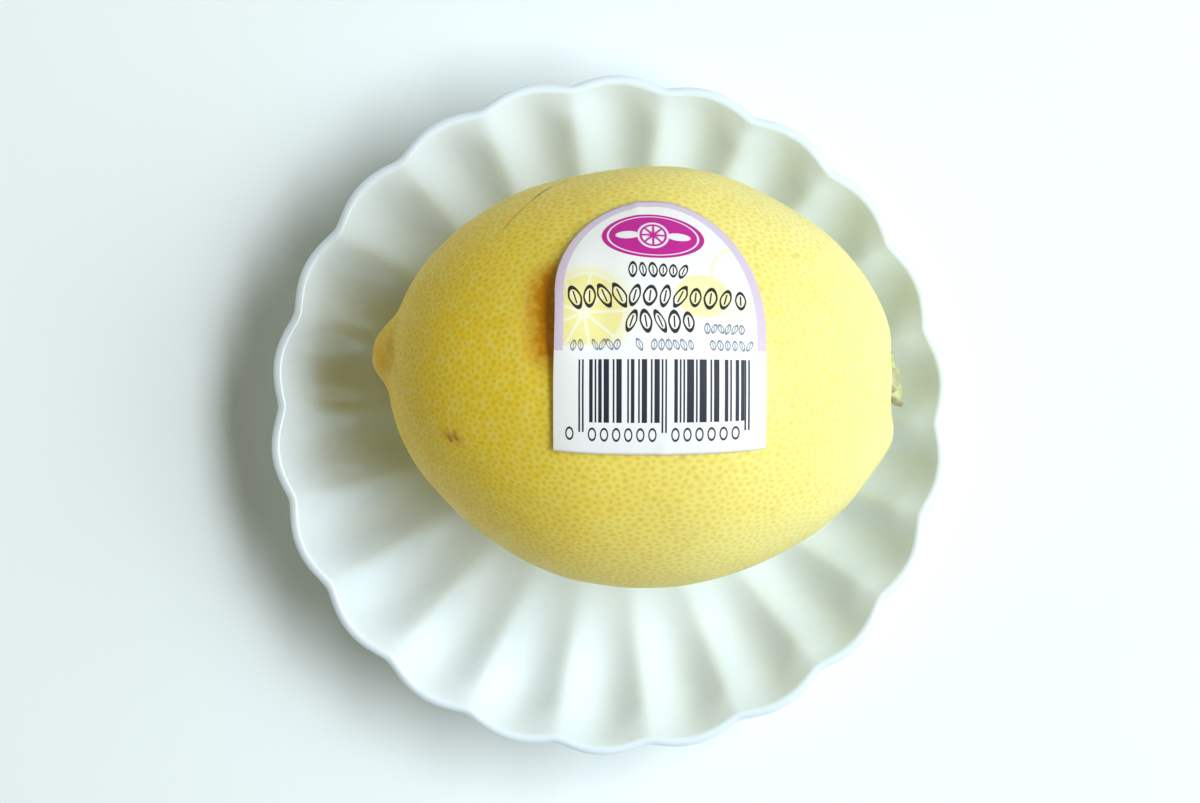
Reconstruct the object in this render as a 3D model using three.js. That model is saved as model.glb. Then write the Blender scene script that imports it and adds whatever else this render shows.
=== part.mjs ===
// A lemon with its paper label, resting a little off centre on a small chrysanthemum plate.
// Millimetres, +Z up. The origin is the centre of the plate's foot, on the table.
import * as THREE from "three";
import { mergeVertices } from "three/addons/utils/BufferGeometryUtils.js";

// ---- Plate: one porcelain shell, pressed into petals, on a turned foot ----
const petalCount = 22;
const petalTurnDeg = -1.4; // the first ridge between two petals, from +X
const plateDiameter = 109.4; // over the tips of the petals
const plateHeight = 21.5;
const lipRadius = 0.95; // the rounded edge of the rim
const floorRadius = 14; // the plain disc in the middle
const floorTop = 5.8;
const floorThickness = 3.2;
const wallPower = 3.3; // how late the wall turns up
const flutesAtRim = 1.3; // how far a ridge stands in from the bottom of a petal, at the lip
const flutesInWall = 2.6; // and where the wall is most deeply fluted
const deepestFlute = 0.96; // that place, as a share of the way up the wall
const ridgeRoundness = 0.2; // of a ridge's crest at the lip, as a share of the flute's depth
const ridgeRoundnessInside = 0.45; // and in the wall
const footRadius = 27.5;
const footWidth = 3.2;
const footRecess = 2.6; // how far the underside is cut up inside the foot
const footEdge = 0.5; // the bevel that the foot stands on

// ---- Lemon: one fruit, with its tip towards -X and its stem end towards +X ----
const lemonLength = 79.2; // without the tip
const lemonWidth = 64.8;
const lemonDepth = 64.4; // from the table side to the top
const lemonFullness = 2.02; // 2 is a plain ellipsoid
const lemonX = 4.9;
const lemonY = 5.9;
const lemonTurnDeg = -1.5;
const lemonOnPlate = 0.1; // clearance
const tipTaper = 0.03; // how much slimmer the fruit is towards its tip
const tipBend = 0.7; // and how far that end leans towards +Y
const tipHeight = 2.4; // the blunt tip
const tipRadius = 5.8;
const tipY = 3.2; // where it grows, off the long axis
const tipZ = 1.2;
const furrowDepth = 0.8; // the crease round it
const furrowWidth = 1.8;
const stemHollow = 2.5; // the dimple round the button
const stemHollowRadius = 6.2;
const shoulderHeight = 1.3; // the swelling beside it
const shoulderRadius = 5.2;
const shoulderY = -7;

// ---- Calyx: the button that the stem left behind ----
const calyxRadius = 4.1;
const calyxThickness = 1.1;
const calyxTiltDeg = 9; // its face leans up a little
const sepalCount = 5;
const sepalShare = 0.2; // how far the points of the sepals reach past the disc
const stubRadius = 1.5;
const stubLength = 1;
const calyxOnLemon = 0.3; // clearance

// ---- Label: a paper sticker, square below and arched above ----
const labelWidth = 30.6;
const labelHeight = 38.6;
const labelArchLeft = 15.5; // the arched part of that height, on the left
const labelArchRight = 21.5; // and on the right
const labelThickness = 0.25;
const labelX = 2; // its middle along the fruit
const labelLeanDeg = 13.6; // round the fruit, from the top towards +Y
const labelTurnDeg = 1.5;
const labelOnLemon = 0.3; // clearance
const labelCurl = 0.7; // how far its free edge has lifted
const labelCurlReach = 5;

const degrees = THREE.MathUtils.degToRad;
const smooth = (low, high, x) => THREE.MathUtils.smoothstep(x, low, high);
const bell = (distance, width) => Math.exp(-((distance / width) ** 2));

function material(color, roughness) {
  return new THREE.MeshStandardMaterial({ color, roughness, metalness: 0 });
}

// How high the corrugation stands at an angle: 0 along the middle of a petal, 1 on a ridge.
function ridge(angle, count, roundness) {
  const across = Math.abs(Math.sin((angle * count) / 2));
  const worn = (x) => Math.sqrt(x * x + roundness * roundness);
  return (worn(1) - worn(across)) / (worn(1) - roundness);
}

// One station of the plate's section: a point, and how it moves where a ridge crosses it.
const station = (r, z, moveR = 0, moveZ = 0) => ({ r, z, moveR, moveZ });

// The shell's middle line at a share of the way up the wall, with its slope and thickness.
function wallAt(share) {
  const lipCentre = plateDiameter / 2 - lipRadius;
  const run = lipCentre - floorRadius;
  const rise = plateHeight - lipRadius - (floorTop - floorThickness / 2);
  return {
    r: floorRadius + run * share,
    z: floorTop - floorThickness / 2 + rise * share ** wallPower,
    slope: Math.atan((rise * wallPower * share ** (wallPower - 1)) / run),
    half: THREE.MathUtils.lerp(floorThickness / 2, lipRadius, share),
  };
}

function fluteDepth(share) {
  return share < deepestFlute
    ? flutesInWall * smooth(0, deepestFlute, share) ** 2.2
    : THREE.MathUtils.lerp(
        flutesInWall,
        flutesAtRim,
        smooth(deepestFlute, 1, share),
      );
}

// A point of the wall, turned from its upper side (turn 0) round the lip to its underside (turn 180).
function wallStation(share, turnDeg, flutes) {
  const { r, z, slope, half } = wallAt(share);
  const facing = slope + Math.PI / 2 - degrees(turnDeg);
  const lean = THREE.MathUtils.lerp(slope, Math.PI / 2, share ** 3);
  return station(
    r + half * Math.cos(facing),
    z + half * Math.sin(facing),
    -flutes * Math.sin(lean),
    flutes * Math.cos(lean),
  );
}

function plateSection() {
  const wallSteps = 9;
  const lipSteps = 4;
  const underSteps = 5;
  const footInner = footRadius - footWidth;
  const lipCentre = plateDiameter / 2 - lipRadius;
  const footShare = (footRadius + 1 - floorRadius) / (lipCentre - floorRadius);
  const section = [station(0, floorTop), station(floorRadius / 2, floorTop)];
  for (let i = 0; i <= wallSteps; i++) {
    const share = (deepestFlute * i) / wallSteps;
    section.push(wallStation(share, 0, fluteDepth(share)));
  }
  section.push(wallStation(1, 0, fluteDepth(1)));
  for (let i = 1; i <= lipSteps; i++)
    section.push(wallStation(1, (180 * i) / lipSteps, fluteDepth(1)));
  for (let i = underSteps; i >= 0; i--) {
    const share = THREE.MathUtils.lerp(footShare, deepestFlute, i / underSteps);
    const fade = smooth(footShare, (1 + footShare) / 2, share);
    section.push(wallStation(share, 180, fade * fluteDepth(share)));
  }
  section.push(
    station(footRadius, footRecess),
    station(footRadius, footEdge),
    station(footRadius - footEdge, 0),
    station(footInner + footEdge, 0),
    station(footInner, footEdge),
    station(footInner - footEdge, footRecess),
    station(0, footRecess),
  );
  return section.reverse();
}

function plate() {
  const stepsPerPetal = 8;
  const section = plateSection();
  const geometry = new THREE.LatheGeometry(
    section.map(({ r, z }) => new THREE.Vector2(r, z)),
    petalCount * stepsPerPetal,
  );
  geometry.rotateX(Math.PI / 2);
  const at = geometry.getAttribute("position");
  for (let i = 0; i < at.count; i++) {
    const { r, z, moveR, moveZ } = section[i % section.length];
    const angle = Math.atan2(at.getY(i), at.getX(i));
    const roundness = THREE.MathUtils.lerp(
      ridgeRoundnessInside,
      ridgeRoundness,
      smooth(0.82, 1, (2 * r) / plateDiameter),
    );
    const lift = ridge(angle - degrees(petalTurnDeg), petalCount, roundness);
    const out = r + moveR * lift;
    at.setXYZ(
      i,
      out * Math.cos(angle),
      out * Math.sin(angle),
      z + moveZ * lift,
    );
  }
  const mesh = new THREE.Mesh(geometry, material(0xf2f6f4, 0.15));
  mesh.name = "plate";
  return mesh;
}

// The lemon's skin in the direction of a unit vector, from the middle of the fruit.
function lemonSkin(direction) {
  const { x, y, z } = direction;
  const size = new THREE.Vector3(lemonLength, lemonWidth, lemonDepth).divideScalar(2);
  const across = Math.hypot(y / size.y, z / size.z);
  const reach =
    (Math.abs(x / size.x) ** lemonFullness + across ** lemonFullness) **
    (-1 / lemonFullness);
  const skin = direction.clone().multiplyScalar(reach);
  const side = Math.atan2(z, y);
  // The fruit isn't quite round, and swells and narrows a little along its length.
  const uneven =
    0.012 * Math.sin(2 * side + 0.8) +
    0.008 * Math.sin(3 * side + 5 * x) +
    0.006 * Math.sin(7 * x + 2 * side);
  const towardsTip = smooth(0.2, 0.9, -x);
  const girth = (1 + uneven * (1 - x * x)) * (1 - tipTaper * towardsTip);
  skin.y = skin.y * girth + tipBend * towardsTip;
  skin.z *= girth;
  if (x < 0) {
    const fromTip = Math.hypot(skin.y - tipY, skin.z - tipZ);
    const front = smooth(0.55, 0.95, -x);
    const tip = tipHeight * Math.exp(-((fromTip / tipRadius) ** 3));
    const furrow = furrowDepth * bell(fromTip - tipRadius, furrowWidth);
    skin.x -= front * (tip - furrow);
  } else {
    const fromStem = Math.hypot(skin.y, skin.z);
    const end = smooth(0.55, 0.95, x);
    const fromShoulder = Math.hypot(skin.y - shoulderY, skin.z);
    const shoulder = shoulderHeight * bell(fromShoulder, shoulderRadius);
    const hollow = stemHollow * Math.exp(-((fromStem / stemHollowRadius) ** 4));
    skin.x += end * (shoulder - hollow);
  }
  return skin;
}

function lemon() {
  const detail = 13;
  const crowding = 1.4; // of the mesh towards the two ends
  const ball = new THREE.IcosahedronGeometry(1, detail);
  ball.deleteAttribute("normal");
  ball.deleteAttribute("uv");
  const geometry = mergeVertices(ball);
  const at = geometry.getAttribute("position");
  const point = new THREE.Vector3();
  for (let i = 0; i < at.count; i++) {
    point.fromBufferAttribute(at, i).normalize();
    const fromEnd = Math.acos(Math.min(1, Math.abs(point.x)));
    const moved = (Math.PI / 2) * (fromEnd / (Math.PI / 2)) ** crowding;
    const across = Math.sin(moved) / Math.max(Math.sin(fromEnd), 1e-9);
    point.set(Math.sign(point.x) * Math.cos(moved), point.y * across, point.z * across);
    at.setXYZ(i, ...lemonSkin(point).toArray());
  }
  geometry.computeVertexNormals();
  const mesh = new THREE.Mesh(geometry, material(0xe6d14a, 0.45));
  mesh.name = "lemon";
  return mesh;
}

// The button lies with its back to -X, its five sepals round it and the stem's stub in the middle.
function calyx() {
  const stepsPerSepal = 6;
  const back = -calyxThickness / 2;
  const face = calyxThickness / 2;
  const profile = [
    [0, back],
    [calyxRadius * 0.55, back],
    [calyxRadius * 0.92, back * 0.6],
    [calyxRadius, 0],
    [calyxRadius * 0.92, face * 0.6],
    [calyxRadius * 0.6, face],
    [stubRadius, face * 1.1],
    [stubRadius, face + stubLength * 0.85],
    [stubRadius * 0.8, face + stubLength],
    [0, face + stubLength],
  ].map(([r, z]) => new THREE.Vector2(r, z));
  const geometry = new THREE.LatheGeometry(profile, sepalCount * stepsPerSepal);
  geometry.rotateX(Math.PI / 2);
  geometry.rotateY(Math.PI / 2);
  const at = geometry.getAttribute("position");
  for (let i = 0; i < at.count; i++) {
    const y = at.getY(i);
    const z = at.getZ(i);
    const out = smooth(stubRadius * 1.3, calyxRadius, Math.hypot(y, z));
    const point = Math.cos(sepalCount * Math.atan2(z, y));
    const grown = 1 + sepalShare * point * out;
    at.setXYZ(i, at.getX(i), y * grown, z * grown);
  }
  const mesh = new THREE.Mesh(geometry, material(0x8f9a5a, 0.7));
  mesh.name = "calyx";
  return mesh;
}

// A point of the label's sheet, given across it (-1 to 1), up it (0 to 1) and off the skin.
function labelPoint(across, up, off) {
  const arch = across < 0 ? labelArchLeft : labelArchRight;
  const archHere = arch * Math.sqrt(1 - across * across);
  const sheet = new THREE.Vector2(
    (across * labelWidth) / 2,
    up * (labelHeight - arch + archHere) - labelHeight / 2,
  );
  const fromEdge = sheet.x + labelWidth / 2;
  const { x: u, y: v } = sheet.rotateAround(
    new THREE.Vector2(0, 0),
    degrees(labelTurnDeg),
  );
  const girth = (lemonWidth + lemonDepth) / 4;
  const lean = degrees(labelLeanDeg) + v / girth;
  const along = (2 * (labelX + u)) / lemonLength;
  const out = girth * (1 - Math.abs(along) ** lemonFullness) ** (1 / lemonFullness);
  const direction = new THREE.Vector3(
    labelX + u,
    out * Math.sin(lean),
    out * Math.cos(lean),
  ).normalize();
  const step = 0.01;
  const skin = lemonSkin(direction);
  const beside = new THREE.Vector3(step, 0, 0).add(direction).normalize();
  const round = direction
    .clone()
    .applyAxisAngle(new THREE.Vector3(1, 0, 0), -step);
  const normal = lemonSkin(beside)
    .sub(skin)
    .cross(lemonSkin(round).sub(skin))
    .normalize();
  const curl = labelCurl * smooth(0, 1, 1 - fromEdge / labelCurlReach);
  return skin.addScaledVector(normal, labelOnLemon + curl + off);
}

function label() {
  const acrossSteps = 14;
  const upSteps = 16;
  const geometry = new THREE.BoxGeometry(2, 1, 1, acrossSteps, upSteps, 1);
  const at = geometry.getAttribute("position");
  for (let i = 0; i < at.count; i++) {
    const across = Math.sin((at.getX(i) * Math.PI) / 2);
    const off = (at.getZ(i) + 0.5) * labelThickness;
    at.setXYZ(i, ...labelPoint(across, at.getY(i) + 0.5, off).toArray());
  }
  const mesh = new THREE.Mesh(geometry, material(0xf4f6f6, 0.4));
  mesh.name = "label";
  return mesh;
}

// Moves a group along a direction until one of its meshes is a clearance away from a fixed one.
function seat(group, moving, fixed, direction, clearance) {
  group.updateWorldMatrix(true, true);
  fixed.updateWorldMatrix(true, false);
  const ray = new THREE.Raycaster();
  const back = direction.clone().negate();
  const point = new THREE.Vector3();
  let gap = Infinity;
  for (const [from, to, way] of [
    [moving, fixed, direction],
    [fixed, moving, back],
  ]) {
    const at = from.geometry.getAttribute("position");
    for (let i = 0; i < at.count; i++) {
      point.fromBufferAttribute(at, i).applyMatrix4(from.matrixWorld);
      ray.set(point, way);
      const hit = ray.intersectObject(to, false)[0];
      if (hit) gap = Math.min(gap, hit.distance);
    }
  }
  group.position.addScaledVector(direction, gap - clearance);
  group.updateWorldMatrix(true, true);
}

const part = new THREE.Group();
const plateMesh = plate();
part.add(plateMesh);

const fruit = new THREE.Group();
const lemonMesh = lemon();
const calyxMesh = calyx();
const button = new THREE.Group();
button.add(calyxMesh);
button.position.set(lemonLength, 0.6, 0);
button.rotation.y = degrees(-calyxTiltDeg);
fruit.add(lemonMesh, label(), button);
fruit.position.set(lemonX, lemonY, plateHeight + lemonDepth);
seat(button, calyxMesh, lemonMesh, new THREE.Vector3(-1, 0, 0), calyxOnLemon);
seat(fruit, lemonMesh, plateMesh, new THREE.Vector3(0, 0, -1), lemonOnPlate);
fruit.rotation.z = degrees(lemonTurnDeg);
part.add(fruit);

export default part;
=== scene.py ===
"""A lemon with its paper label, on a small porcelain dish pressed into petals. Metres, +Z up."""

from math import asin, cos, hypot, pi, radians, sin

import bpy
import numpy as np
from mathutils import Matrix, Vector, noise
from mathutils.bvhtree import BVHTree


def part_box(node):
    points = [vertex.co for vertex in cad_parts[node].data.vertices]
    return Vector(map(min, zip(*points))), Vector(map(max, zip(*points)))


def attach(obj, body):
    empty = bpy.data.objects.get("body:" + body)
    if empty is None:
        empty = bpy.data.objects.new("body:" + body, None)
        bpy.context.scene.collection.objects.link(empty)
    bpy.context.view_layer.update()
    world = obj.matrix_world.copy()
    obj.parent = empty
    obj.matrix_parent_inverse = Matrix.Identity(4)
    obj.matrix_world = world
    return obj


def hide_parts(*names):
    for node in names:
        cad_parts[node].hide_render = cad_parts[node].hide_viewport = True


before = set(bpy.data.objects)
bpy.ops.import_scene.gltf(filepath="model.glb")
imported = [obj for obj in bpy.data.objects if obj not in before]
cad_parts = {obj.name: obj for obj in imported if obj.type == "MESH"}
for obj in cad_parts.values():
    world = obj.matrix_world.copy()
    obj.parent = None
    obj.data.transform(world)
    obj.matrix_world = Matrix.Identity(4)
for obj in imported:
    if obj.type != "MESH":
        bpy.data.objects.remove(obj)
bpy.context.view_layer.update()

# ---- Camera and room ----
# The dish is seen from straight above with a long lens. A window stands at its right, made of two lights,
# and a pale wall at its left gives a little back. The room is dim and warm, the table plain and pale.

camera = bpy.data.objects.new("camera", bpy.data.cameras.new("camera"))
camera.location = (-0.0016, 0.0022, 0.475)
camera.data.sensor_width = 36
camera.data.lens = 84.8
camera.data.clip_start = 0.01
bpy.context.collection.objects.link(camera)
bpy.context.scene.camera = camera


def window(name, place, size, watts, color):
    """A rectangular area light that faces the middle of the dish."""
    light = bpy.data.lights.new(name, "AREA")
    light.shape = "RECTANGLE"
    light.size, light.size_y = size
    light.energy = watts
    light.color = color
    lamp = bpy.data.objects.new(name, light)
    lamp.location = place
    towards = Vector((0, 0, 0.03)) - Vector(place)
    lamp.rotation_euler = towards.to_track_quat("-Z", "Y").to_euler()
    bpy.context.collection.objects.link(lamp)


window("upper_window", (0.733, 0.038, 1.308), (1.2, 0.34), 18, (0.83, 0.91, 1))
window("lower_window", (0.96, 0.05, 0.962), (1.0, 0.5), 8.8, (0.83, 0.91, 1))
window("far_wall", (-1.3, 0.2, 0.5), (1.2, 0.8), 2.3, (1, 0.96, 0.76))

room = bpy.data.worlds.new("room")
room.use_nodes = True
room.node_tree.nodes["Background"].inputs["Color"].default_value = (0.97, 0.96, 0.65, 1)
room.node_tree.nodes["Background"].inputs["Strength"].default_value = 0.145
bpy.context.scene.world = room
bpy.context.scene.view_settings.view_transform = "Standard"
bpy.context.scene.view_settings.look = "None"


class Wire:
    """A socket of a node tree. Sums of wires and numbers add the Math nodes that work them out."""

    def __init__(self, tree, socket=None):
        self.tree = tree
        self.socket = socket

    def node(self, kind, inputs=(), out=0, **settings):
        """Adds a node with its settings, then gives each named or numbered input a value or a wire."""
        made = self.tree.nodes.new(kind)
        for name, value in settings.items():
            setattr(made, name, value)
        for name, value in dict(inputs).items():
            if isinstance(value, Wire):
                self.tree.links.new(value.socket, made.inputs[name])
            else:
                made.inputs[name].default_value = value
        return Wire(self.tree, made.outputs[out])

    def math(self, operation, *values):
        return self.node("ShaderNodeMath", enumerate(values), operation=operation)

    def __add__(self, other):
        return self.math("ADD", self, other)

    def __sub__(self, other):
        return self.math("SUBTRACT", self, other)

    def __rsub__(self, other):
        return self.math("SUBTRACT", other, self)

    def __mul__(self, other):
        return self.math("MULTIPLY", self, other)

    def __truediv__(self, other):
        return self.math("DIVIDE", self, other)

    def __pow__(self, other):
        return self.math("POWER", self, other)

    __radd__ = __add__
    __rmul__ = __mul__

    def __abs__(self):
        return self.math("ABSOLUTE", self)

    def either(self, other):
        """The higher of two masks."""
        return self.math("MAXIMUM", self, other)

    def step(self, low, high):
        """0 below low and 1 above high, smooth in between; low may be above high."""
        ends = {"Value": self, "From Min": low, "From Max": high}
        return self.node("ShaderNodeMapRange", ends, interpolation_type="SMOOTHSTEP")

    def blend(self, under, over):
        """A colour: under where this wire is 0, over where it is 1."""
        return self.node("ShaderNodeMix", {0: self, 6: under, 7: over}, out=2, data_type="RGBA")


def finish(name, roughness, **constants):
    """A new material. Returns it, a wire to start its pattern from, and its Principled shader."""
    material = bpy.data.materials.new(name)
    material.use_nodes = True
    shader = material.node_tree.nodes["Principled BSDF"]
    shader.inputs["Roughness"].default_value = roughness
    for socket, value in constants.items():
        shader.inputs[socket.replace("_", " ")].default_value = value
    return material, Wire(material.node_tree), shader


def feed(shader, **wires):
    """Joins wires to the shader's sockets."""
    for socket, wire in wires.items():
        wire.tree.links.new(wire.socket, shader.inputs[socket.replace("_", " ")])


def mesh_of(name, points, faces):
    mesh = bpy.data.meshes.new(name)
    mesh.from_pydata([tuple(p) for p in points], [], faces)
    mesh.validate()
    return mesh


def place_piece(name, mesh, node, material):
    """Puts a finished mesh in the scene as the piece that stands for a node of the frame."""
    piece = bpy.data.objects.new(name, mesh)
    bpy.context.collection.objects.link(piece)
    mesh.materials.clear()
    mesh.materials.append(material)
    mesh.polygons.foreach_set("use_smooth", [True] * len(mesh.polygons))
    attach(piece, "root")
    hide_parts(node)


table_size = 3
table = mesh_of(
    "table",
    [(x * table_size, y * table_size, 0) for x, y in ((-1, -1), (1, -1), (1, 1), (-1, 1))],
    [(0, 1, 2, 3)],
)
painted, start, shader = finish("painted_table", 0.6)
at = start.node("ShaderNodeTexCoord", out="Object")
cloud = start.node("ShaderNodeTexNoise", {"Vector": at, "Scale": 9.0, "Detail": 3.0})
feed(shader, Base_Color=cloud.blend((0.87, 0.925, 0.905, 1), (0.91, 0.945, 0.925, 1)))
table.materials.append(painted)
floor = bpy.data.objects.new("table", table)
bpy.context.collection.objects.link(floor)

# ---- Plate ----
# A small dish of white porcelain, one fired piece: a shell pressed into petals, a rounded lip, and a
# turned foot ring whose flat is left bare of glaze. One petal is made here, and repeated round the dish.

petals = 22
petal_turn = radians(-1.4)
rim_radius = 0.0547
rim_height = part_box("plate")[1].z
lip = 0.00095
floor_radius = 0.014
floor_top = 0.0058
floor_half = 0.0016
wall_power = 3.3
lean_power = 3
flute_at_rim = 0.0013
flute_in_wall = 0.0028
flute_power = 2.2
deepest_flute = 0.95
ridge_round = 0.2
ridge_round_inside = 0.45
sharpens_from = 0.82
foot_radius = 0.0275
foot_width = 0.0032
foot_recess = 0.0026
foot_edge = 0.0005


def ramp(low, high, x):
    """0 below low and 1 above high, smooth in between."""
    t = np.clip((x - low) / (high - low), 0, 1)
    return t * t * (3 - 2 * t)


def wall_station(share, turn, flutes):
    """A point of the dish's section, and how a ridge moves it: (r, z, move in r, move in z)."""
    run = rim_radius - lip - floor_radius
    rise = rim_height - lip - (floor_top - floor_half)
    slope = np.arctan(rise * wall_power * share ** (wall_power - 1) / run)
    half = floor_half + (lip - floor_half) * share
    facing = slope + pi / 2 - turn
    lean = slope + (pi / 2 - slope) * share**lean_power
    return (
        floor_radius + run * share + half * cos(facing),
        floor_top - floor_half + rise * share**wall_power + half * sin(facing),
        -flutes * sin(lean),
        flutes * cos(lean),
    )


def flutes(share):
    """How far the ridges stand out from the hollows at a share of the way up the wall."""
    if share < deepest_flute:
        return flute_in_wall * ramp(0, deepest_flute, share) ** flute_power
    return flute_in_wall + (flute_at_rim - flute_in_wall) * ramp(deepest_flute, 1, share)


def plate_section():
    """Stations from the middle of the floor, over the lip and down the underside to the middle."""
    foot_share = (foot_radius + 0.001 - floor_radius) / (rim_radius - lip - floor_radius)
    section = [(r, floor_top, 0, 0) for r in np.linspace(0, floor_radius, 6)[:-1]]
    for share in np.linspace(0, 1, 34):
        section.append(wall_station(share, 0, flutes(share)))
    for turn in np.linspace(0, pi, 11)[1:]:
        section.append(wall_station(1, turn, flutes(1)))
    for share in np.linspace(1, foot_share, 22)[1:]:
        fade = ramp(foot_share, (1 + foot_share) / 2, share)
        section.append(wall_station(share, pi, fade * flutes(share)))
    inner = foot_radius - foot_width
    foot = [(foot_radius + 0.0002, foot_recess + 0.0004), (foot_radius, foot_recess - 0.0004)]
    for turn in np.linspace(0, pi / 2, 4):
        foot.append((foot_radius - foot_edge * (1 - cos(turn)), foot_edge * (1 - sin(turn))))
    for turn in np.linspace(pi / 2, 0, 4):
        foot.append((inner + foot_edge * (1 - cos(turn)), foot_edge * (1 - sin(turn))))
    foot += [(inner, foot_recess - 0.0005), (inner - 0.0005, foot_recess)]
    foot += [(r, foot_recess) for r in np.linspace(inner - 0.003, 0, 5)]
    return section + [(r, z, 0, 0) for r, z in foot]


def petal_mesh():
    """One petal of the dish, a closed wedge but for its two sides, which the next petals join."""
    steps = 32
    section = np.array(plate_section())
    points = []
    for i in range(steps + 1):
        angle = petal_turn + 2 * pi / petals * i / steps
        across = sin(pi * i / steps)
        for r, z, move_r, move_z in section:
            sharp = ramp(sharpens_from, 1, r / rim_radius)
            worn = ridge_round_inside + (ridge_round - ridge_round_inside) * sharp
            ridge = (hypot(1, worn) - hypot(across, worn)) / (hypot(1, worn) - worn)
            out = r + move_r * ridge
            points.append((out * cos(angle), out * sin(angle), z + move_z * ridge))
    n = len(section)
    faces = []
    for i in range(steps):
        for j in range(n - 1):
            a, b = i * n + j, (i + 1) * n + j
            faces.append((a, a + 1, b + 1, b))
    return mesh_of("petal", points, faces)


def new_tree(name, **inputs):
    """A Geometry Nodes tree with a mesh in, a mesh out and the named inputs."""
    tree = bpy.data.node_groups.new(name, "GeometryNodeTree")
    tree.interface.new_socket("Geometry", in_out="INPUT", socket_type="NodeSocketGeometry")
    tree.interface.new_socket("Geometry", in_out="OUTPUT", socket_type="NodeSocketGeometry")
    for label, kind in inputs.items():
        tree.interface.new_socket(
            label.replace("_", " "), in_out="INPUT", socket_type="NodeSocket" + kind
        )
    group = tree.nodes.new("NodeGroupInput")
    return tree, {s.name: Wire(tree, s) for s in group.outputs if s.name}


def grow(mesh, tree, result, material, **values):
    """Ends a tree in Realize Instances and Set Material, runs it on a mesh and returns the new mesh."""
    real = result.node("GeometryNodeRealizeInstances", {"Geometry": result})
    done = real.node("GeometryNodeSetMaterial", {"Geometry": real, "Material": material})
    tree.links.new(done.socket, tree.nodes.new("NodeGroupOutput").inputs[0])
    seed = bpy.data.objects.new(tree.name, mesh)
    bpy.context.collection.objects.link(seed)
    modifier = seed.modifiers.new(tree.name, "NODES")
    modifier.node_group = tree
    sockets = {s.name: s.identifier for s in tree.interface.items_tree if s.in_out == "INPUT"}
    for name, value in values.items():
        modifier[sockets[name.replace("_", " ")]] = value
    graph = bpy.context.evaluated_depsgraph_get()
    grown = bpy.data.meshes.new_from_object(seed.evaluated_get(graph))
    bpy.data.objects.remove(seed)
    return grown


def porcelain():
    """Cool white glaze, faintly uneven, with a few pinholes; the foot's flat is bare and sandy."""
    material, start, shader = finish("porcelain", 0.2, Coat_Roughness=0.05, IOR=1.52)
    at = start.node("ShaderNodeTexCoord", out="Object")
    height = start.node("ShaderNodeSeparateXYZ", {0: at}, out="Z")
    cloud = start.node("ShaderNodeTexNoise", {"Vector": at, "Scale": 55.0, "Detail": 4.0})
    grain = start.node("ShaderNodeTexNoise", {"Vector": at, "Scale": 2600.0, "Detail": 2.0})
    specks = start.node(
        "ShaderNodeTexVoronoi", {"Vector": at, "Scale": 210.0}, feature="F1", out="Distance"
    )
    pinhole = specks.step(0.045, 0.02)
    bare = height.step(0.0004, 0.0002)
    glaze = cloud.step(0.3, 0.7).blend((0.81, 0.91, 0.975, 1), (0.85, 0.935, 0.99, 1))
    glaze = (pinhole * 0.35).blend(glaze, (0.6, 0.58, 0.52, 1))
    body = grain.step(0.35, 0.7).blend((0.74, 0.71, 0.64, 1), (0.6, 0.56, 0.49, 1))
    feed(shader, Base_Color=bare.blend(glaze, body))
    feed(shader, Roughness=0.2 + cloud * 0.09 + pinhole * 0.2 + bare * 0.45)
    feed(shader, Coat_Weight=0.45 * (1 - bare))
    sag = start.node("ShaderNodeTexNoise", {"Vector": at, "Scale": 240.0, "Detail": 1.0})
    relief = sag * 0.5 - pinhole * 0.8 + bare * grain * 1.2
    bump = start.node("ShaderNodeBump", {"Height": relief, "Strength": 0.12, "Distance": 0.0002})
    feed(shader, Normal=bump)
    return material


glazed = porcelain()
tree, given = new_tree("petals_round_a_dish", Petals="Int", Weld="Float")
spots = given["Petals"].node("GeometryNodePoints", {"Count": given["Petals"]})
turn = spots.node("GeometryNodeInputIndex") * (2 * pi) / given["Petals"]
spin = spots.node("ShaderNodeCombineXYZ", {"Z": turn})
ring = spots.node(
    "GeometryNodeInstanceOnPoints",
    {"Points": spots, "Instance": given["Geometry"], "Rotation": spin},
)
joined = ring.node("GeometryNodeRealizeInstances", {"Geometry": ring})
joined = ring.node("GeometryNodeMergeByDistance", {"Geometry": joined, "Distance": given["Weld"]})
plate_mesh = grow(petal_mesh(), tree, joined, glazed, Petals=petals, Weld=2e-6)
place_piece("porcelain_plate", plate_mesh, "plate", glazed)

# ---- Lemon ----
# One whole fruit lying on the dish. Its peel is waxy and covered in oil glands, each a small darker
# dimple in a cell of its own; it is puckered round the blunt tip and round the hollow of the stem.

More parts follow.
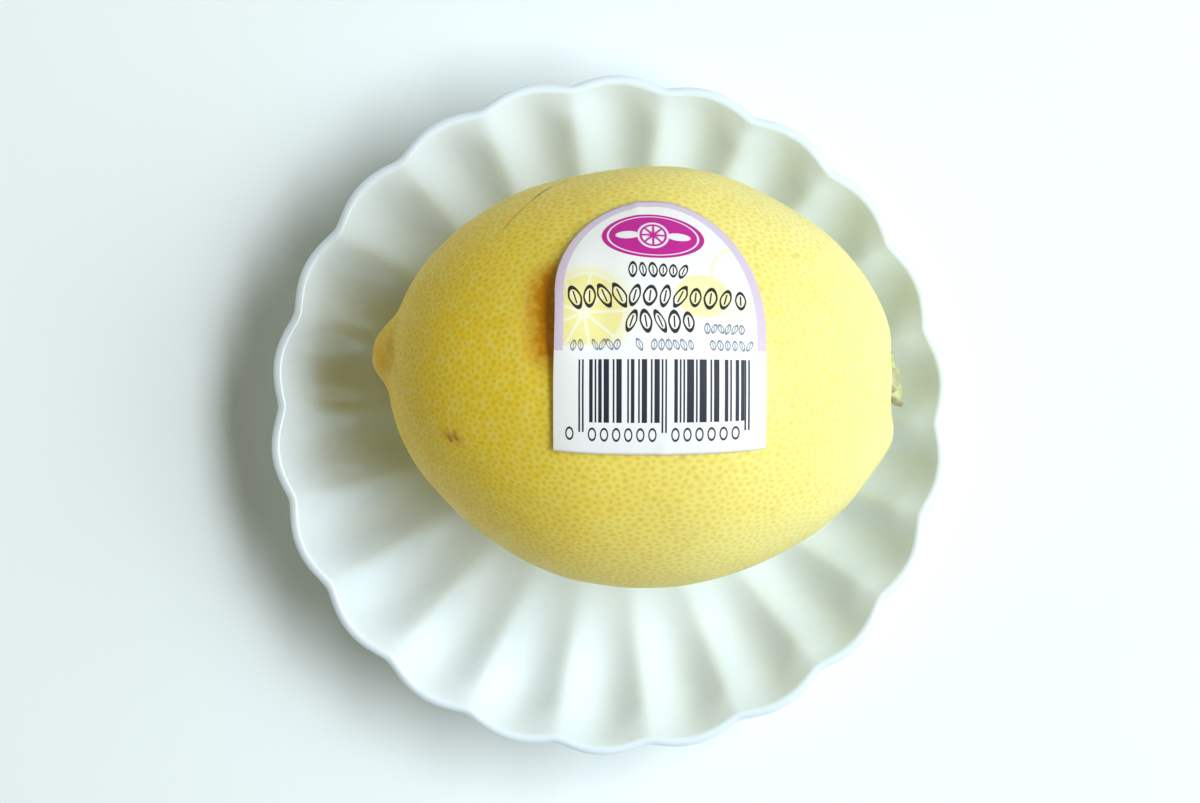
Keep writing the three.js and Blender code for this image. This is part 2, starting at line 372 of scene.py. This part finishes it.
# Each mark is a line between two places, x and y, with a width, a strength and a colour; one is painted
# shadow.
brown = (0.24, 0.12, 0.03)
orange = (0.62, 0.25, 0.01)
peel_marks_and_shadow = (
    (-0.0232, -0.0023, -0.0231, -0.0025, 0.0005, 1.1, brown),
    (-0.0242, -0.0031, -0.024, -0.0032, 0.0006, 1.1, brown),
    (-0.0235, -0.003, -0.0233, -0.0029, 0.0005, 0.9, brown),
    (-0.0231, -0.0032, -0.0229, -0.0034, 0.0006, 1.1, brown),
    (-0.0239, -0.0037, -0.0238, -0.0036, 0.0006, 1.1, brown),
    (-0.0247, -0.0027, -0.0226, -0.0035, 0.0014, 0.45, (0.7, 0.34, 0.02)),
    (-0.0066, 0.0359, -0.0092, 0.0348, 0.0004, 0.75, brown),
    (-0.0092, 0.0348, -0.0119, 0.0326, 0.0005, 0.75, brown),
    (-0.0119, 0.0326, -0.0163, 0.0277, 0.0003, 0.5, brown),
    (-0.0289, 0.0145, -0.0288, 0.0146, 0.0004, 1.0, (0.85, 0.8, 0.6)),
    (0.0272, 0.0238, 0.0277, 0.024, 0.0008, 0.4, (0.7, 0.5, 0.1)),
    (0.0101, -0.0059, 0.0105, -0.006, 0.0006, 0.5, (0.6, 0.42, 0.08)),
    (-0.036, 0.0125, -0.0354, 0.0065, 0.004, 0.7, (0.92, 0.54, 0.0)),
    (-0.0341, 0.0117, -0.033, 0.0068, 0.0014, 0.35, orange),
    # Painted shadow: the dark orange shade that the label's lifted left edge casts on the peel, strongest
    # at the edge.
    (-0.0084, 0.0105, -0.0086, 0.019, 0.0058, 1.0, (0.7, 0.28, 0.0)),
    (0.0425, 0.0015, 0.0422, -0.0002, 0.0016, 0.4, (1.0, 0.6, 0.1)),
)
gland_depth = 0.00009
peel_swell = 0.00022
pucker_depth = 0.00022
lemon_low, lemon_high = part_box("lemon")
lemon_middle = (lemon_low + lemon_high) / 2


def smooth_copy(node, levels):
    """A merged, subdivided copy of a node's mesh, as a tree to cast rays at."""
    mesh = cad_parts[node].data.copy()
    copy = bpy.data.objects.new("copy", mesh)
    bpy.context.collection.objects.link(copy)
    weld = copy.modifiers.new("weld", "WELD")
    weld.merge_threshold = 1e-6
    fine = copy.modifiers.new("fine", "SUBSURF")
    fine.levels = fine.render_levels = levels
    graph = bpy.context.evaluated_depsgraph_get()
    found = BVHTree.FromObject(copy, graph)
    bpy.data.objects.remove(copy)
    return found


def gland_cells():
    """A ball of cells round scattered points, each with a middle point marked as its gland."""
    tree, given = new_tree("peel_cells", Spacing="Float", Faintest="Float", Seed="Int")
    ball = given["Seed"].node("GeometryNodeMeshIcoSphere", {"Radius": 1.0, "Subdivisions": 5})
    spots = ball.node(
        "GeometryNodeDistributePointsOnFaces",
        {"Mesh": ball, "Distance Min": given["Spacing"], "Density Max": 9000.0, "Seed": given["Seed"]},
        distribute_method="POISSON",
    )
    where = ball.node("GeometryNodeInputPosition")
    where = ball.node("ShaderNodeVectorMath", {0: where}, operation="NORMALIZE")
    spots = ball.node("GeometryNodeSetPosition", {"Geometry": spots, "Position": where})
    cells = ball.node("GeometryNodeConvexHull", {"Geometry": spots})
    cells = ball.node("GeometryNodeDualMesh", {"Mesh": cells})
    extrude = tree.nodes.new("GeometryNodeExtrudeMesh")
    tree.links.new(cells.socket, extrude.inputs["Mesh"])
    extrude.inputs["Offset Scale"].default_value = 0
    cells, top = Wire(tree, extrude.outputs["Mesh"]), Wire(tree, extrude.outputs["Top"])
    cells = cells.node(
        "GeometryNodeScaleElements", {"Geometry": cells, "Selection": top, "Scale": 0.0}
    )
    deep = cells.node(
        "FunctionNodeRandomValue",
        {2: given["Faintest"], 3: 1.0, "Seed": given["Seed"]},
        out=1,
        data_type="FLOAT",
    )
    marked = cells.node(
        "GeometryNodeStoreNamedAttribute",
        {"Geometry": cells, "Selection": top, "Name": "gland", "Value": deep},
        data_type="FLOAT",
        domain="POINT",
    )
    merged = marked.node("GeometryNodeMergeByDistance", {"Geometry": marked, "Distance": 0.0003})
    return tree, merged


def on_peel(x, y):
    """The point of the fruit's upper side above a place, or of its side beside it."""
    above = skin.ray_cast(Vector((x, y, 0.2)), Vector((0, 0, -1)))[0]
    return above or skin.find_nearest(Vector((x, y, lemon_middle.z)))[0]


def streak(at, first, last, width):
    """How near the peel is to a line between two of its points: 1 on it, 0 a width away."""
    run = last - first
    off = at.node("ShaderNodeVectorMath", {0: at, 1: first}, operation="SUBTRACT")
    unit = run / run.length_squared
    along = at.node("ShaderNodeVectorMath", {0: off, 1: unit}, out="Value", operation="DOT_PRODUCT")
    along = along.node("ShaderNodeClamp", {"Value": along})
    back = at.node("ShaderNodeVectorMath", {0: run, "Scale": along}, operation="SCALE")
    far = at.node("ShaderNodeVectorMath", {0: off, 1: back}, out="Value", operation="DISTANCE")
    return far.step(width, width * 0.2)


def lemon_peel():
    """Yellow wax over pith, deeper at the tip and paler at the stem, partly painted sheen; darker glands,
    old marks and one painted shadow.
    """
    material, start, shader = finish(
        "lemon_peel", 0.4, Specular_IOR_Level=0.28, Subsurface_Weight=0.3, Subsurface_Scale=0.004
    )
    shader.inputs["Subsurface Radius"].default_value = (1, 0.7, 0.15)
    at = start.node("ShaderNodeTexCoord", out="Object")
    across = start.node("ShaderNodeSeparateXYZ", {0: at}, out="X")
    gland = start.node("ShaderNodeAttribute", attribute_name="gland", out="Fac")
    cloud = start.node("ShaderNodeTexNoise", {"Vector": at, "Scale": 60.0, "Detail": 5.0})
    mottle = start.node("ShaderNodeTexNoise", {"Vector": at, "Scale": 700.0, "Detail": 4.0})
    # Deeper yellow at the left tip and paler towards the right end, where the light falls: partly the
    # peel's own tone,
    # partly painted sheen, which also fades the glands' dots on that side.
    pale_tone_and_sheen = (across + (cloud - 0.5) * 0.03).step(-0.034, 0.042)
    dot = gland.step(0.12, 0.68)
    color = pale_tone_and_sheen.blend((1.0, 0.69, 0.012, 1), (1.0, 0.9, 0.33, 1))
    color = (mottle.step(0.46, 0.66) * 0.35).blend(color, (1.0, 0.87, 0.24, 1))
    color = (mottle.step(0.5, 0.32) * 0.22).blend(color, (0.82, 0.56, 0.01, 1))
    color = (dot * (0.52 - 0.26 * pale_tone_and_sheen)).blend(color, (0.74, 0.49, 0.005, 1))
    # Each mark is laid over the colour: specks, stains and scratches, and one painted shadow beside the
    # label.
    for x0, y0, x1, y1, width, strength, stain_and_shadow in peel_marks_and_shadow:
        near = streak(at, on_peel(x0, y0), on_peel(x1, y1), width)
        color = (near * strength * (2.2 * mottle - 0.1)).blend(color, (*stain_and_shadow, 1))
    feed(shader, Base_Color=color)
    feed(shader, Roughness=0.36 + mottle * 0.12 + dot * 0.08)
    bump = start.node("ShaderNodeBump", {"Height": mottle, "Strength": 0.2, "Distance": 0.0002})
    feed(shader, Normal=bump)
    return material


def pucker(place, middle, ring, reach, folds):
    """How deep the peel is folded at a place, by radial creases on a ring round a middle point."""
    y, z = place.y - middle.y, place.z - middle.z
    angle = np.arctan2(z, y)
    crease = 0.5 + 0.5 * sin(folds * angle + 3 * noise.noise(place * 90))
    near = np.exp(-(((hypot(y, z) - ring) / reach) ** 2))
    return pucker_depth * crease**2 * near * ramp(0.02, 0.03, abs(place.x - lemon_middle.x))


skin = smooth_copy("lemon", 2)
peel = lemon_peel()
tree, cells = gland_cells()
lemon_mesh = grow(bpy.data.meshes.new("seed"), tree, cells, peel, Spacing=0.0255, Faintest=0.6, Seed=5)
count = len(lemon_mesh.vertices)
points = np.empty(count * 3)
lemon_mesh.vertices.foreach_get("co", points)
gland = np.zeros(count)
lemon_mesh.attributes["gland"].data.foreach_get("value", gland)
tip = min((v.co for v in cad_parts["lemon"].data.vertices), key=lambda co: co.x)
button_low, button_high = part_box("calyx")
stem = (button_low + button_high) / 2
shape = (lemon_high - lemon_low) / 2
for i, way in enumerate(points.reshape(-1, 3)):
    way = Vector((way[0] * shape.x, way[1] * shape.y, way[2] * shape.z)).normalized()
    place, normal, _, _ = skin.ray_cast(lemon_middle, way)
    swell = noise.noise(place * 70) + 0.4 * noise.noise(place * 190)
    depth = gland_depth * gland[i] - peel_swell * (swell - 1)
    if place.x < lemon_middle.x:
        depth += pucker(place, tip, 0.0068, 0.0025, 9)
    else:
        depth += pucker(place, stem, 0.0066, 0.002, 7)
    points[3 * i : 3 * i + 3] = place - normal * depth
lemon_mesh.vertices.foreach_set("co", points)
place_piece("lemon_fruit", lemon_mesh, "lemon", peel)

# ---- Calyx ----
# The dry button left where the stem was cut: a thin green star of five sepals that have shrunk, curled
# and browned at their edges, round a short woody stub. It sits loose in the hollow at the fruit's end.

sepals = 5
sepal_spread = 0.24
sepal_thickness = 0.0009
stub_radius = 0.0014
stub_height = 0.0006
stub_hollow = 0.00035
edge_curl = 0.0008
wrinkle_height = 0.00012
button_radius = (button_high.z - button_low.z) / 2.25
button_turn = radians(20)
button_tilt = radians(15)
button_yaw = radians(10)


def calyx_mesh():
    """A round sheet from the stub's middle out to the sepals' ragged edges, given its thickness."""
    rounds, steps = 26, 180
    points = [(0, 0, stub_height)]
    for i in range(1, rounds + 1):
        share = i / rounds
        for j in range(steps):
            angle = 2 * pi * j / steps
            spot = Vector((cos(angle), sin(angle), 0))
            lobe = abs(cos(sepals * angle / 2)) ** 0.7
            rag = noise.noise(spot * 6) + 0.7 * noise.noise(spot * 17)
            edge = button_radius * (1 - sepal_spread + sepal_spread * lobe + 0.07 * rag)
            out = edge * share
            stub = stub_height * ramp(stub_radius * 1.15, stub_radius * 0.9, out)
            hollow = stub_hollow * ramp(stub_radius * 0.7, 0, out)
            curl = edge_curl * share**4 * (0.5 + noise.noise(spot * 3 + Vector((4, 1, 7))))
            wrinkle = wrinkle_height * noise.noise(Vector((out * 900, angle * 6, 2)))
            height = stub - hollow + curl + wrinkle * (1 + stub * 900)
            points.append((spot.x * out, spot.y * out, height))
    faces = [(0, 1 + j, 1 + (j + 1) % steps) for j in range(steps)]
    for i in range(rounds - 1):
        for j in range(steps):
            a, b = 1 + i * steps + j, 1 + i * steps + (j + 1) % steps
            faces.append((a, a + steps, b + steps, b))
    return mesh_of("calyx", points, faces)


def dry_sepal(middle):
    """Green-yellow near the stub, brown and grey towards the edges; the stub is grey wood."""
    material, start, shader = finish("dry_sepal", 0.75)
    at = start.node("ShaderNodeTexCoord", out="Object")
    off = start.node("ShaderNodeVectorMath", {0: at, 1: middle}, operation="SUBTRACT")
    flat = start.node("ShaderNodeVectorMath", {0: off, 1: (0, 1, 1)}, operation="MULTIPLY")
    out = start.node("ShaderNodeVectorMath", {0: flat}, out="Value", operation="LENGTH")
    fibre = start.node("ShaderNodeTexNoise", {"Vector": at, "Scale": 1500.0, "Detail": 5.0})
    cloud = start.node("ShaderNodeTexNoise", {"Vector": at, "Scale": 420.0, "Detail": 3.0})
    color = cloud.step(0.35, 0.65).blend((0.5, 0.52, 0.17, 1), (0.66, 0.65, 0.34, 1))
    dry = (out + (cloud - 0.5) * 0.0025).step(button_radius * 0.82, button_radius * 1.0)
    color = (dry * 0.8).blend(color, (0.24, 0.23, 0.16, 1))
    wood = out.step(stub_radius * 1.25, stub_radius * 0.95)
    color = (wood * 0.7).blend(color, (0.42, 0.39, 0.24, 1))
    color = (fibre.step(0.5, 0.72) * 0.5).blend(color, (0.62, 0.6, 0.44, 1))
    feed(shader, Base_Color=color, Roughness=0.65 + fibre * 0.25)
    bump = start.node("ShaderNodeBump", {"Height": fibre, "Strength": 0.4, "Distance": 0.0003})
    feed(shader, Normal=bump)
    return material


def thicken(mesh, thickness, levels=0):
    """A closed copy of a sheet: its thickness is added below, and its edges may be rounded."""
    sheet = bpy.data.objects.new("sheet", mesh)
    bpy.context.collection.objects.link(sheet)
    solid = sheet.modifiers.new("thickness", "SOLIDIFY")
    solid.thickness = thickness
    solid.offset = -1
    if levels:
        fine = sheet.modifiers.new("rounded", "SUBSURF")
        fine.levels = fine.render_levels = levels
    graph = bpy.context.evaluated_depsgraph_get()
    made = bpy.data.meshes.new_from_object(sheet.evaluated_get(graph))
    bpy.data.objects.remove(sheet)
    return made


calyx = thicken(calyx_mesh(), sepal_thickness, 1)
facing = Vector((cos(button_tilt) * cos(button_yaw), sin(button_yaw), sin(button_tilt)))
lean = facing.to_track_quat("Z", "Y").to_matrix().to_4x4()
calyx.transform(Matrix.Rotation(button_turn, 4, "Z"))
calyx.transform(Matrix.Translation((stem.x - 0.0004, stem.y, stem.z)) @ lean)
place_piece("calyx_button", calyx, "calyx", dry_sepal(stem))

# ---- Label ----
# A coated paper sticker, square below and arched above, stuck over the top of the fruit. Its left edge
# has begun to lift, and it is creased where it couldn't follow the round. It is printed in five inks.

paper = 0.00012
off_skin = 0.0003
lift = 0.0018
lift_reach = 0.008
top_crease_height = 0.00022
foot_crease_height = 0.00016
ripple_height = 0.00003
label_low, label_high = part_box("label")
label_width = 0.0306
half_width = label_width / 2
arch_left = 0.0155
arch_right = 0.0215
axis = Vector((0, lemon_middle.y, lemon_middle.z))
girth = (lemon_high.z - lemon_low.z) / 2
label_bottom = asin((label_low.y - axis.y) / girth)
label_top = asin((label_high.y - axis.y) / girth)
label_height = girth * (label_top - label_bottom)
label_middle = (label_low.x + label_high.x) / 2


def label_edge(across):
    """How high the label's outline is at a place across it, from -1 to 1."""
    arch = arch_left if across < 0 else arch_right
    return label_height - arch * (1 - (1 - across * across) ** 0.5)


def label_sheet():
    """The label's face laid over the fruit, with its flat shape as a UV map, 0 to 1 over its width and
    height, and each point's distance from the arched edge as an attribute in millimetres."""
    columns, rows = 72, 84
    side = np.sin(np.linspace(-pi / 2, pi / 2, 400))
    edge = [(half_width * a, label_edge(a)) for a in side]
    up_side = np.linspace(0, label_height - arch_left, 60)
    edge = np.array(edge + [(x, v) for x in (-half_width, half_width) for v in up_side])
    points, flat, inset = [], [], []
    for i in range(columns + 1):
        across = sin(pi * (i / columns - 0.5))
        u = half_width * across
        for j in range(rows + 1):
            v = label_edge(across) * j / rows
            angle = label_bottom + v / girth
            out = Vector((0, sin(angle), cos(angle)))
            place, normal, _, _ = skin.ray_cast(axis + Vector((label_middle + u, 0, 0)), out)
            # The left edge lifts most 22.5 mm up. One crease comes down from the top, one up from the foot.
            lifting = 0.15 + 0.85 * np.exp(-(((v - 0.0225) / 0.008) ** 2))
            curl = lift * lifting * ramp(lift_reach, 0, u + half_width)
            top_crease = np.exp(-(((u + 0.0032) / 0.0006) ** 2)) * ramp(0.0355, 0.039, v)
            foot_crease = np.exp(-(((u - 0.0006) / 0.0007) ** 2)) * ramp(0.0035, 0, v)
            creases = top_crease_height * top_crease + foot_crease_height * foot_crease
            ripple = ripple_height * noise.noise(Vector((u, v, 0)) * 260)
            rise = off_skin + creases + ripple
            points.append(place + normal * rise + Vector((0.15, 0, 1)) * curl)
            flat.append((u / label_width + 0.5, v / label_height))
            inset.append(1000 * np.hypot(*(edge - (u, v)).T).min())
    faces = []
    for i in range(columns):
        for j in range(rows):
            a, b = i * (rows + 1) + j, (i + 1) * (rows + 1) + j
            faces.append((a, b, b + 1, a + 1))
    mesh = mesh_of("label", points, faces)
    sheet = mesh.uv_layers.new(name="sheet").data
    for loop in mesh.loops:
        sheet[loop.index].uv = flat[loop.vertex_index]
    mesh.attributes.new("inset", "FLOAT", "POINT").data.foreach_set("value", inset)
    return mesh


def box(u, v, left, right, bottom, top, soft=0.05):
    """1 inside a rectangle of the label, in millimetres."""
    width = abs(u - (left + right) / 2)
    tall = abs(v - (bottom + top) / 2)
    inside = width.step((right - left) / 2 + soft, (right - left) / 2 - soft)
    return inside * tall.step((top - bottom) / 2 + soft, (top - bottom) / 2 - soft)


def away(u, v, middle_u, middle_v, stretch=1):
    """The distance from a point of the label, measured stretch times shorter across."""
    x = (u - middle_u) / stretch
    y = v - middle_v
    return (x * x + y * y) ** 0.5


def wheel(u, v, middle_u, middle_v, radius, segments, rind, gap):
    """A cut citrus wheel: its rind and its flesh as two masks."""
    far = away(u, v, middle_u, middle_v)
    inner = radius - rind
    ring = far.step(inner - 0.08, inner + 0.08) * far.step(radius + 0.08, radius - 0.08)
    turn = u.math("ARCTAN2", v - middle_v, u - middle_u) * (segments / 2)
    wall = abs(turn.math("SINE", turn)) * far * (2 / segments)
    flesh = far.step(inner - gap, inner - gap - 0.15) * wall.step(gap * 0.3, gap * 0.3 + 0.15)
    return ring, flesh


def chances(number, parts=("Red", "Green", "Blue")):
    """Up to three random values from 0 to 1 that belong to a whole number."""
    picked = number.node("ShaderNodeTexWhiteNoise", {"W": number}, out="Color", noise_dimensions="1D")
    return [picked.node("ShaderNodeSeparateColor", {0: picked}, out=part) for part in parts]


def pips(u, v, left, count, middle, tall, stroke, gaps=0):
    """A row of leaning pips in outline, each with a vein, which stands for a line of print."""
    pitch = tall * 0.66
    place = (u - left) / pitch
    number = place.math("FLOOR", place)
    chance = chances(number + 31 * middle)
    high = 0.38 + 0.1 * chance[0]
    wide = 0.2 + 0.08 * chance[1]
    y = (v - middle) / tall
    x = (place - number - 0.5) * 0.66 - y * (chance[2] - 0.5)
    round_x, round_y = x / wide, y / high
    far = (round_x * round_x + abs(round_y) ** 1.5) ** 0.5
    share = stroke / tall
    outline = abs(far - 1).step(share * 2.4, share * 1.6)
    vein = abs(x).step(share * 0.55, share * 0.35) * far.step(0.75, 0.65)
    drawn = box(u, v, left, left + pitch * count, middle - tall, middle + tall)
    if gaps:
        drawn = drawn * chance[1].step(gaps, gaps + 0.01)
    return outline.either(vein) * drawn


def printed_paper():
    """Coated white paper, cool in its lower half, with a lilac edge, citrus slices and dark print."""
    material, start, shader = finish("printed_paper", 0.5, Specular_IOR_Level=0.35)
    sheet = start.node("ShaderNodeUVMap", uv_map="sheet")
    across = start.node("ShaderNodeSeparateXYZ", {0: sheet}, out="X")
    up = start.node("ShaderNodeSeparateXYZ", {0: sheet}, out="Y")
    u = (across - 0.5) * (label_width * 1000)
    v = up * (label_height * 1000)
    inset = start.node("ShaderNodeAttribute", attribute_name="inset", out="Fac")
    at = start.node("ShaderNodeTexCoord", out="Object")
    fibre = start.node("ShaderNodeTexNoise", {"Vector": at, "Scale": 3500.0, "Detail": 3.0})
    cloud = start.node("ShaderNodeTexNoise", {"Vector": at, "Scale": 130.0, "Detail": 2.0})
    color = v.step(17.5, 12.5).blend((0.96, 0.945, 0.895, 1), (0.945, 0.935, 0.905, 1))
    color = (cloud.step(0.4, 0.7) * 0.35).blend(color, (0.93, 0.94, 0.93, 1))

    # The panel inside the lilac edge: two cut wheels, with two pale slices between them.
    panel = v.step(15.9, 16.3) * inset.step(1.25, 1.35)
    rind, flesh = wheel(u, v, -11.0, 20.9, 6.7, 9, 0.5, 0.45)
    color = (panel * away(u, v, -11.0, 20.9).step(8.6, 5.6) * 0.5).blend(color, (0.93, 0.85, 0.42, 1))
    color = (panel * flesh * 0.75).blend(color, (0.93, 0.82, 0.23, 1))
    color = (panel * rind * 0.7).blend(color, (0.95, 0.88, 0.5, 1))
    color = (panel * away(u, v, 6.2, 23.6, 1.2).step(3.5, 3.1) * 0.75).blend(color, (0.94, 0.86, 0.32, 1))
    color = (panel * away(u, v, 10.5, 21.2, 1.6).step(3.2, 1.2) * 0.35).blend(color, (0.94, 0.88, 0.5, 1))
    rind, flesh = wheel(u, v, 12.2, 27.6, 4.9, 8, 0.3, 0.5)
    color = (panel * flesh * 0.14).blend(color, (0.95, 0.9, 0.5, 1))
    color = (panel * rind * 0.8).blend(color, (0.94, 0.89, 0.42, 1))

    # The lilac edge round the arch, then an oval badge with a ring, a wheel and two leaves in white.
    band = v.step(15.35, 15.45) * inset.step(1.36, 1.26)
    color = band.blend(color, (0.75, 0.61, 0.74, 1))
    badge = away(u, v, -0.9, 33.0, 1.9)
    color = badge.step(3.95, 3.87).blend(color, (0.58, 0.018, 0.30, 1))
    line = badge.step(3.33, 3.41) * badge.step(3.55, 3.47)
    rind, flesh = wheel(u, v, -0.9, 33.0, 2.3, 8, 0.3, 0.28)
    leaf = away(u, v, -4.6, 33.0, 2.6).step(0.72, 0.6)
    leaf = leaf.either(away(u, v, 2.8, 33.0, 2.6).step(0.72, 0.6))
    white = line.either(rind).either(flesh).either(leaf)
    color = white.blend(color, (0.92, 0.88, 0.9, 1))

    # Three lines of dark pips, and two small ones in blue-grey, stand where there would be writing.
    ink = pips(u, v, -4.6, 6, 27.2, 2.2, 0.2)
    ink = ink.either(pips(u, v, -13.4, 12, 23.25, 3.3, 0.26))
    ink = ink.either(pips(u, v, -5.1, 5, 19.5, 3.1, 0.26))
    color = ink.blend(color, (0.02, 0.018, 0.016, 1))
    small = pips(u, v, 6.3, 6, 18.6, 1.5, 0.14)
    small = small.either(pips(u, v, -13.0, 25, 16.1, 1.6, 0.14, 0.12))
    color = (small * 0.9).blend(color, (0.13, 0.17, 0.25, 1))

    # A made-up bar pattern: 95 slots, with a longer pair of guards at each end and in the middle, and
    # two groups of six cells between them, each seven slots wide with two bars of random width.
    code_left = -11.7
    bar = 24.6 / 95
    slot = (u - code_left) / bar
    code = None
    for first in (3, 50):
        cell = (slot - first) / 7
        number = cell.math("FLOOR", cell)
        spread, thin = chances(number + first, ("Red", "Green"))
        gap = spread.math("FLOOR", spread * 2.99) + 1
        wide = thin.math("FLOOR", thin * 1.6) + 1
        place = (cell - number) * 7
        bars = place.step(gap - 0.08, gap + 0.08) * place.step(gap + wide + 0.08, gap + wide - 0.08)
        bars = bars.either(place.step(gap + wide + 0.92, gap + wide + 1.08))
        left = bar * first + code_left
        bars = bars * box(u, v, left, left + bar * 42, 4.8, 14.0, 0.02)
        code = code.either(bars) if code else bars
    for first in (0, 2, 46, 48, 92, 94):
        left = bar * first + code_left
        code = code.either(box(u, v, left, left + bar, 3.3, 14.0, 0.02))
    color = code.blend(color, (0.018, 0.018, 0.035, 1))

    # Zeros for its digits: one at the left of the bars, and six below each group.
    pitch = 1.73
    for left, count in ((-13.85, 1), (-10.6, 6), (1.35, 6)):
        spot = (u - left) / pitch
        x = (spot.math("FRACT", spot) - 0.5) * (pitch / 0.56)
        y = (v - 3.0) * 1.02
        ring = abs((x * x + y * y) ** 0.5 - 0.9).step(0.22, 0.14)
        zeros = ring * box(u, v, left, left + pitch * count, 1.8, 4.2, 0.02)
        color = zeros.blend(color, (0.03, 0.032, 0.05, 1))

    feed(shader, Base_Color=color, Roughness=0.46 + fibre * 0.12 + ink * 0.1)
    bump = start.node("ShaderNodeBump", {"Height": fibre, "Strength": 0.05, "Distance": 0.0001})
    feed(shader, Normal=bump)
    return material


place_piece("paper_label", thicken(label_sheet(), paper), "label", printed_paper())
